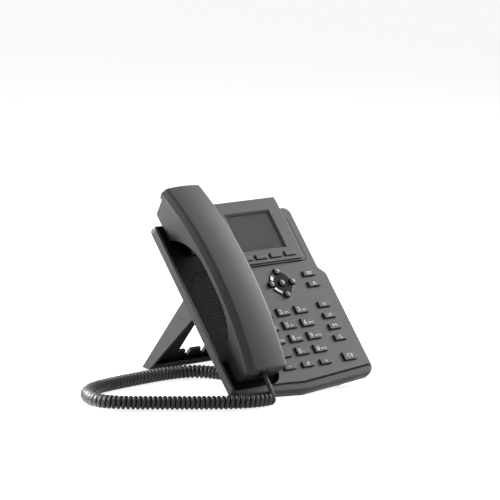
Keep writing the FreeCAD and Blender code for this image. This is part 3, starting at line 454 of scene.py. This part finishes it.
# Navigation dish: a satin black plate with a polished rim that slopes up between its four outer caps.
# All five caps are domed black mouldings with satin grey tops.
RIM_PROFILE = [(8.6, 0.42), (12, 1.05), (12.4, 0.95), (12.4, 0.1), (8.6, 0.1)]
RIM_ARC = math.radians(46)
RIM_STEPS = 12
CAP_CROWN = 0.62
dish_black = moulded("dish_black", (0.012, 0.012, 0.013, 1), 0.05, 0.02)
finish_node("nav_dish", moulded("dish_satin", (0.008, 0.008, 0.009, 1), 0.2, 0.02, shine=0.12))
cap_black = moulded("cap_black", (0.015, 0.015, 0.016, 1), 0.12, 0.03, shine=0.25)
cap_grey = moulded("cap_grey", (0.42, 0.42, 0.43, 1), 0.2, 0.05)


def on_cap_crown(place, normal):
    """True on the domed top of a navigation cap."""
    return normal.dot(OUT) > CAP_CROWN


for name in ("up", "down", "left", "right", "ok"):
    finish_node("key_nav_" + name, cap_black)
    second_finish("key_nav_" + name, cap_grey, on_cap_crown)


def turned(shape, profile, start, angle, steps):
    """Spins a closed outline, given as radius and height, round the middle of the pad."""
    turn = Matrix.Rotation(start, 3, "Z")
    corners = [shape.verts.new(turn @ Vector((radius, 0, height))) for radius, height in profile]
    bmesh.ops.spin(
        shape,
        geom=[shape.faces.new(corners)],
        cent=(0, 0, 0),
        axis=(0, 0, 1),
        angle=angle,
        steps=steps,
    )


rim = bmesh.new()
for quarter in range(4):
    turned(rim, RIM_PROFILE, math.tau * (quarter + 0.5) / 4 - RIM_ARC / 2, RIM_ARC, RIM_STEPS)
bmesh.ops.recalc_face_normals(rim, faces=rim.faces[:])
dish_rim = finished_mesh("dish_rim", rim, dish_black, "base")

# Keys: black caps on a silicone mat, each free to travel in its hole. The tops are sprayed in the
# housing's grey and carry white printed digits, letters and signs.
PAINT_SLOPE = 0.8
PAINT_HEIGHT = 0.5
PRINT_LIFT = 0.03
PRINT_FLATTEN = 0.1
DIGIT_SIZE = 6.4
DIGIT_PLACE = Vector((-4.9, -0.5, 0))
LETTER_SIZE = 2.7
LETTER_PLACE = Vector((0, -1.3, 0))
STROKE_SWELL = 0.02
LINE_WIDTH = 0.85
SIGN_SIZE = 1.25
DIAL_PRINTS = {
    "key_1": ("1", ""),
    "key_2": ("2", "ABC"),
    "key_3": ("3", "DEF"),
    "key_4": ("4", "GHI"),
    "key_5": ("5", "JKL"),
    "key_6": ("6", "MNO"),
    "key_7": ("7", "PQRS"),
    "key_8": ("8", "TUV"),
    "key_9": ("9", "WXYZ"),
    "key_star": ("*", "."),
    "key_0": ("0", "+"),
    "key_hash": ("#", "SEND"),
}
RING_STEPS = 16


def ring(u, w, radius, start=0, stop=RING_STEPS + 1):
    """Points round a circle, or round part of one, from one step to before another."""
    angles = [math.tau * step / RING_STEPS for step in range(start, stop)]
    return [(u + radius * math.cos(angle), w + radius * math.sin(angle)) for angle in angles]


SIGNS = {
    "key_hold": [[(-0.9, -1.2), (-0.9, 1.2)], [(0.9, -1.2), (0.9, 1.2)]],
    "key_transfer": [[(-2, 0.6), (2, 0.6), (1, 1.4)], [(2, -0.6), (-2, -0.6), (-1, -1.4)]],
    "key_conference": [ring(-1.3, 0.7, 0.6), ring(1.3, 0.7, 0.6), ring(0, -0.8, 1.7, 0, 9)],
    "key_redial": [ring(0, 0, 1.4, 2, 15), [(0.5, -0.4), (1.3, -0.6), (1.6, -1.4)]],
    "key_line_1": [[(-2, -1), (2, -1), (2, 1), (-2, 1), (-2, -1)], [(-1.2, 0), (1.2, 0)]],
    "key_line_2": [ring(0, 0.5, 0.8), ring(0, -1.3, 1.5, 0, 9)],
    "key_volume_down": [[(-1.2, 0), (1.2, 0)]],
    "key_volume_up": [[(-1.2, 0), (1.2, 0)], [(0, -1.2), (0, 1.2)]],
    "key_mute": [ring(0, 0.6, 0.7), [(0, -0.2), (0, -1.5)], [(-1.6, -1.4), (1.6, 1.4)]],
    "key_nav_up": [[(-0.6, -0.3), (0, 0.4), (0.6, -0.3)]],
    "key_nav_down": [[(-0.6, 0.3), (0, -0.4), (0.6, 0.3)]],
    "key_nav_left": [[(0.3, -0.6), (-0.4, 0), (0.3, 0.6)]],
    "key_nav_right": [[(-0.3, -0.6), (0.4, 0), (-0.3, 0.6)]],
    "key_nav_ok": [ring(0, 0, 0.7)],
    "key_speaker": [
        [(-2.4, -0.8), (-1.3, -0.8), (0, -1.8), (0, 1.8), (-1.3, 0.8), (-2.4, 0.8), (-2.4, -0.8)],
        ring(0, 0, 1.4, 14, 17) + ring(0, 0, 1.4, 1, 3),
        ring(0, 0, 2.5, 14, 17) + ring(0, 0, 2.5, 1, 3),
    ],
}
key_plastic = moulded("key_plastic", (0.012, 0.012, 0.013, 1), 0.3, 0.12)
key_paint = moulded("key_paint", HOUSING_GREY, 0.36, 0.12, shine=0.25)
print_white = moulded("print_white", (0.92, 0.92, 0.92, 1), 0.4, 0.05, edge_radius=0)


def key_top(name):
    """The middle of a key's top, in the face frame."""
    points = [TO_FACE @ vertex.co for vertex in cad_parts[name].data.vertices]
    crest = max(point.z for point in points)
    middle = [(min(values) + max(values)) / 2 for values in zip(*[(p.x, p.y) for p in points])]
    return Vector((*middle, crest + PRINT_LIFT))


def printed(name, curve, key, place):
    """Makes a flat curve or text a thin white print on a key."""
    holder = bpy.data.objects.new(name, curve)
    shape = bmesh.new()
    drawn = bpy.data.meshes.new_from_object(holder)
    shape.from_mesh(drawn)
    bpy.data.objects.remove(holder)
    bpy.data.meshes.remove(drawn)
    bmesh.ops.scale(shape, vec=(1, 1, PRINT_FLATTEN), verts=shape.verts)
    bmesh.ops.translate(shape, vec=place, verts=shape.verts)
    piece = finished_mesh(name, shape, print_white, key)
    return piece


def text_print(name, words, height, key, place):
    """A printed digit or row of letters, a little bolder than the plain type."""
    curve = bpy.data.curves.new(name, "FONT")
    curve.body = words
    curve.size = height
    curve.align_x = "LEFT"
    curve.align_y = "CENTER"
    curve.offset = STROKE_SWELL * height
    return printed(name, curve, key, place)


def sign_print(name, strokes, key, place):
    """A printed sign drawn in strokes of even width."""
    curve = bpy.data.curves.new(name, "CURVE")
    curve.dimensions = "3D"
    curve.bevel_depth = LINE_WIDTH / 2
    curve.bevel_resolution = 1
    curve.use_fill_caps = True
    for stroke in strokes:
        spline = curve.splines.new("POLY")
        spline.points.add(len(stroke) - 1)
        for knot, (u, w) in zip(spline.points, stroke):
            knot.co = (u * SIGN_SIZE, w * SIGN_SIZE, 0, 1)
    return printed(name, curve, key, place)


def on_key_top(place, normal):
    """True on the sprayed top of a key."""
    return normal.dot(OUT) > PAINT_SLOPE and place.z > PAINT_HEIGHT


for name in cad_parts:
    if name.startswith("key_") and not name.startswith("key_nav"):
        finish_node(name, key_plastic)
        second_finish(name, key_paint, on_key_top)
for name, (digit, letters) in DIAL_PRINTS.items():
    text_print("print_" + name, digit, DIGIT_SIZE, name, key_top(name) + DIGIT_PLACE)
    if letters:
        text_print("letters_" + name, letters, LETTER_SIZE, name, key_top(name) + LETTER_PLACE)
for name, strokes in SIGNS.items():
    sign_print("print_" + name, strokes, name, key_top(name))

# Parts behind the face: a moulded silicone mat with the domes of the keys, a green circuit board, pressed
# steel sound units and the moulded lever of the hook switch. The covers clamp them, and the handset's
# two shells hold its own receiver and microphone.
finish_node("keypad_mat", moulded("mat_silicone", (0.3, 0.3, 0.29, 1), 0.6))
finish_node("main_board", moulded("board_green", (0.02, 0.11, 0.05, 1), 0.3, 0.1))
speaker_steel = moulded("speaker_steel", (0.25, 0.25, 0.25, 1), 0.35, 0.2)
for name in ("loudspeaker", "handset_receiver", "handset_mic"):
    finish_node(name, speaker_steel)
finish_node("hook_switch", moulded("hook_black", (0.03, 0.03, 0.031, 1), 0.4))

# Sockets: black moulded modular jacks and a barrel inlet, soldered to the board with their mouths in the
# lower wall of the bulge. One more jack sits in the foot of the handset.
socket_black = moulded("socket_black", (0.025, 0.025, 0.026, 1), 0.4)
for name in ("network_jacks", "handset_jack", "headset_jack", "power_inlet", "handset_socket"):
    finish_node(name, socket_black)

# Spring contacts: gold-plated wires in the roof of each open modular socket, eight in a network mouth
# and four in the headset mouth.
CONTACT_ROWS = [(6.75, 8), (23.25, 8), (-25.25, 4)]
CONTACT_PITCH = 1.02
CONTACT_MIDDLE = (-39.5, -17.6)
CONTACT_LENGTH = 7.5
CONTACT_RADIUS = 0.28
CONTACT_SEGMENTS = 8
CONTACT_LEAN = math.radians(96)
wires = bmesh.new()
lean = Matrix.Rotation(CONTACT_LEAN, 3, "X")
for u, count in CONTACT_ROWS:
    for index in range(count):
        wire = bmesh.ops.create_cone(
            wires,
            cap_ends=True,
            segments=CONTACT_SEGMENTS,
            radius1=CONTACT_RADIUS,
            radius2=CONTACT_RADIUS,
            depth=CONTACT_LENGTH,
        )
        bmesh.ops.rotate(wires, cent=(0, 0, 0), matrix=lean, verts=wire["verts"])
        across = u + CONTACT_PITCH * (index - (count - 1) / 2)
        bmesh.ops.translate(wires, vec=(across, *CONTACT_MIDDLE), verts=wire["verts"])
contact_gold = moulded("contact_gold", (0.75, 0.52, 0.2, 1), 0.2, 0.05, edge_radius=0)
contact_gold.node_tree.nodes["Principled BSDF"].inputs["Metallic"].default_value = 1
socket_contacts = finished_mesh("socket_contacts", wires, contact_gold, "base")

# Handset: two shells moulded in charcoal ABS that meet at a seam and are screwed together, with the same
# fine grain as the housing.
handset_plastic = moulded("handset_plastic", (0.13, 0.131, 0.134, 1), 0.36, shine=0.25)
finish_node("handset_outer", handset_plastic)
finish_node("handset_inner", handset_plastic)

# Sound holes: rings of small black discs on the floors of the ear block and the mouth block, over the
# receiver and the microphone, as painted shade standing for the openings.
HOLE_FLOOR = -4.74
HOLE_RADIUS = 0.9
HOLE_SEGMENTS = 12
HOLE_DEPTH = 0.03
HOLE_RINGS = {76: ((0, 1), (3.4, 6), (6.6, 12)), -76: ((0, 1), (3, 6))}
HANDSET_MIDDLE = -77
hole_shades = bmesh.new()
for along, rings in HOLE_RINGS.items():
    for radius, count in rings:
        for index in range(count):
            hole = bmesh.ops.create_circle(
                hole_shades,
                cap_ends=True,
                segments=HOLE_SEGMENTS,
                radius=HOLE_RADIUS,
            )
            angle = math.tau * index / count
            u = HANDSET_MIDDLE + radius * math.cos(angle)
            w = along + radius * math.sin(angle)
            bmesh.ops.translate(hole_shades, vec=(u, w, HOLE_FLOOR), verts=hole["verts"])
bmesh.ops.reverse_faces(hole_shades, faces=hole_shades.faces[:])
bmesh.ops.solidify(hole_shades, geom=hole_shades.faces[:], thickness=HOLE_DEPTH)
sound_hole_shade = finished_mesh("sound_hole_shade", hole_shades, black_and_painted_shade, "handset")

# Curly cord: a round black lead from the handset, wound into a springy helix that lies round the
# left of the phone, and on to the socket behind. Route points are millimetres from the pad's middle.
UP = Vector((0, 0, 1))
COIL_Z = -85.5
COIL_RADIUS = 4.3
COIL_PITCH = 4.35
TURN_POINTS = 14
WIRE = 4.2
CORD_STEPS = 2
CORD_ROUNDING = 3
LEAD_HANDSET = [(-77, -67.91, -65.07), (-77, -74.66, -73.11)]
COIL_ROUTE = [
    (-76, -76),
    (-92, -76.5),
    (-113, -68),
    (-138, -49),
    (-171, -21.5),
    (-195, 0),
    (-203, 22),
    (-192, 45),
    (-172, 61),
    (-146, 66.5),
    (-112, 70),
    (-82, 72),
    (-60, 68),
    (-46, 56),
    (-39, 40),
    (-37.5, 26),
]
LEAD_BASE = [
    (-37.5, 14, -86.5),
    (-37.6, 0, -89),
    (-38, -14, -87.5),
    (-38.6, -24, -80),
    (-39.4, -27, -69),
    (-40.1, -22.5, -59.4),
    (-40.25, -14.32, -48.03),
]


def spline_curve(name, points):
    """A smooth open curve with these points, in millimetres, as its control points."""
    curve = bpy.data.curves.new(name, "CURVE")
    curve.dimensions = "3D"
    spline = curve.splines.new("NURBS")
    spline.points.add(len(points) - 1)
    for knot, point in zip(spline.points, points):
        knot.co = (*((Vector(point) + FACE_ORIGIN) * MM), 1)
    spline.order_u = 3
    spline.use_endpoint_u = True
    return curve


def points_along(curve):
    """Points down the middle of a curve that has no bevel."""
    holder = bpy.data.objects.new(curve.name, curve)
    mesh = bpy.data.meshes.new_from_object(holder)
    points = [vertex.co.copy() for vertex in mesh.vertices]
    bpy.data.objects.remove(holder)
    bpy.data.meshes.remove(mesh)
    return points


def helix_along(route):
    """Turns of the coil around a route on the table, closing in to the wire's own line at the end."""
    lengths = [0]
    for before, after in zip(route, route[1:]):
        lengths.append(lengths[-1] + (after - before).length / MM)
    turns = round(lengths[-1] / COIL_PITCH)
    count = turns * TURN_POINTS
    made = []
    for step in range(count + 1):
        at = lengths[-1] * step / count
        part = max(i for i, length in enumerate(lengths[:-1]) if length <= at)
        share = (at - lengths[part]) / (lengths[part + 1] - lengths[part])
        middle = route[part].lerp(route[part + 1], share)
        along = (route[part + 1] - route[part]).normalized()
        side = UP.cross(along)
        angle = math.tau * step / TURN_POINTS
        radius = COIL_RADIUS * min(1, (count - step) / TURN_POINTS)
        offset = side * math.cos(angle) - UP * math.sin(angle)
        made.append(middle / MM - FACE_ORIGIN + offset * radius)
    return made


coil_line = points_along(spline_curve("coil_route", [(x, y, COIL_Z) for x, y in COIL_ROUTE]))
cord_points = LEAD_HANDSET + helix_along(coil_line) + LEAD_BASE
cord_curve = spline_curve("cord_line", cord_points)
cord_curve.splines[0].resolution_u = CORD_STEPS
cord_line = points_along(cord_curve)
cord_curve.bevel_depth = WIRE / 2 * MM
cord_curve.bevel_resolution = CORD_ROUNDING
cord_curve.use_fill_caps = True
holder = bpy.data.objects.new("cord_tube", cord_curve)
cord_mesh = bpy.data.meshes.new_from_object(holder)
cord_mesh.shade_smooth()
bpy.data.objects.remove(holder)
handset_cord = bpy.data.objects.new("handset_cord", cord_mesh)
bpy.context.scene.collection.objects.link(handset_cord)
handset_cord.data.materials.append(moulded("cord_black", (0.016, 0.016, 0.017, 1), 0.42, 0.1))
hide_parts("cord_coil", "cord_lead_handset", "cord_lead_base")
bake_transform(handset_cord)
plug_black = moulded("plug_black", (0.05, 0.05, 0.052, 1), 0.15, 0.05)
plugs = [finish_node(name, plug_black) for name in ("plug_handset", "plug_base")]

# Studio: the photo's own view, soft boxes at the right, behind and over the bend of the cord, and a white
# floor and backdrop. The white is for the eye, mirrors and glass alone: it lights the phone only a little.
CAMERA_PLACE = Vector((-1988.9, -2359.9, 545.5))
CAMERA_TURN = (math.radians(80.54), 0, math.radians(-39.59))
LENS = 244.8
SENSOR = 36
VIEW_REACH = 30
PHONE_MIDDLE = (0, 0, 0.09)
CORD_BEND = (-0.176, 0.006, 0.008)
SOFT_BOXES = {
    "key_box": {"place": (1.45, -0.25, 0.72), "aim": PHONE_MIDDLE, "size": 0.7, "power": 22},
    "spark_box": {"place": (1.08, 0, 0.98), "aim": PHONE_MIDDLE, "size": 0.45, "power": 5},
    "left_rear_box": {"place": (-0.24, 0.3, 0.27), "aim": (-0.07, 0.07, 0.16), "size": 0.15, "power": 2},
    "bend_box": {"place": (-0.235, -0.02, 0.08), "aim": CORD_BEND, "size": 0.03, "power": 0.035},
}
BEND_SPREAD = math.radians(25)
FLOOR_REACH = 8
FLOOR_GLOW = 0.82
FLOOR_ROUGHNESS = 0.9
FLOOR_DIM = (0.12, 0.12, 0.12, 1)
FLOOR_PALE = (0.85, 0.85, 0.85, 1)
WORLD_DIM = 0.14

lens = bpy.data.cameras.new("photo_view")
lens.lens = LENS
lens.sensor_width = SENSOR
lens.clip_end = VIEW_REACH
camera = bpy.data.objects.new("photo_view", lens)
camera.location = (CAMERA_PLACE + FACE_ORIGIN) * MM
camera.rotation_euler = CAMERA_TURN
bpy.context.scene.collection.objects.link(camera)
bpy.context.scene.camera = camera


def soft_box(name, place, aim, size, power):
    """A square area lamp that looks at a point."""
    lamp = bpy.data.lights.new(name, "AREA")
    lamp.size = size
    lamp.energy = power
    holder = bpy.data.objects.new(name, lamp)
    holder.location = place
    holder.rotation_euler = (Vector(aim) - Vector(place)).to_track_quat("-Z", "Y").to_euler()
    bpy.context.scene.collection.objects.link(holder)
    return holder


lamps = {name: soft_box(name, **values) for name, values in SOFT_BOXES.items()}
lamps["bend_box"].data.spread = BEND_SPREAD


def seen_rays(tree):
    """The mask of the rays that show a background: to the eye, in a mirror or through glass."""
    rays = tree.nodes.new("ShaderNodeLightPath")
    mirrored = tree.nodes.new("ShaderNodeMath")
    mirrored.operation = "MAXIMUM"
    tree.links.new(rays.outputs["Is Glossy Ray"], mirrored.inputs[0])
    tree.links.new(rays.outputs["Is Transmission Ray"], mirrored.inputs[1])
    seen = tree.nodes.new("ShaderNodeMath")
    seen.operation = "MAXIMUM"
    tree.links.new(rays.outputs["Is Camera Ray"], seen.inputs[0])
    tree.links.new(mirrored.outputs["Value"], seen.inputs[1])
    return seen.outputs["Value"]


sheet = bmesh.new()
bmesh.ops.create_grid(sheet, x_segments=1, y_segments=1, size=FLOOR_REACH)
floor_white = bpy.data.materials.new("floor_white")
floor = finished_mesh("floor", sheet, floor_white, None, Matrix.Identity(4))
floor_white.use_nodes = True
nodes = floor_white.node_tree.nodes
links = floor_white.node_tree.links
floor_shader = nodes["Principled BSDF"]
floor_shader.inputs["Roughness"].default_value = FLOOR_ROUGHNESS
floor_shader.inputs["Specular IOR Level"].default_value = 0
floor_shader.inputs["Emission Color"].default_value = (1, 1, 1, 1)
floor_seen = seen_rays(floor_white.node_tree)
tone = nodes.new("ShaderNodeMix")
tone.data_type = "RGBA"
tone.inputs["A"].default_value = FLOOR_DIM
tone.inputs["B"].default_value = FLOOR_PALE
links.new(floor_seen, tone.inputs["Factor"])
links.new(tone.outputs["Result"], floor_shader.inputs["Base Color"])
glow = nodes.new("ShaderNodeMath")
glow.operation = "MULTIPLY"
glow.inputs[1].default_value = FLOOR_GLOW
links.new(floor_seen, glow.inputs[0])
links.new(glow.outputs["Value"], floor_shader.inputs["Emission Strength"])

world = bpy.data.worlds.new("studio")
world.use_nodes = True
backdrop = world.node_tree.nodes["Background"]
level = world.node_tree.nodes.new("ShaderNodeMapRange")
world.node_tree.links.new(seen_rays(world.node_tree), level.inputs["Value"])
level.inputs["To Min"].default_value = WORLD_DIM
level.inputs["To Max"].default_value = 1
world.node_tree.links.new(level.outputs["Result"], backdrop.inputs["Strength"])
backdrop.inputs["Color"].default_value = (1, 1, 1, 1)
bpy.context.scene.world = world
bpy.context.scene.view_settings.view_transform = "Standard"
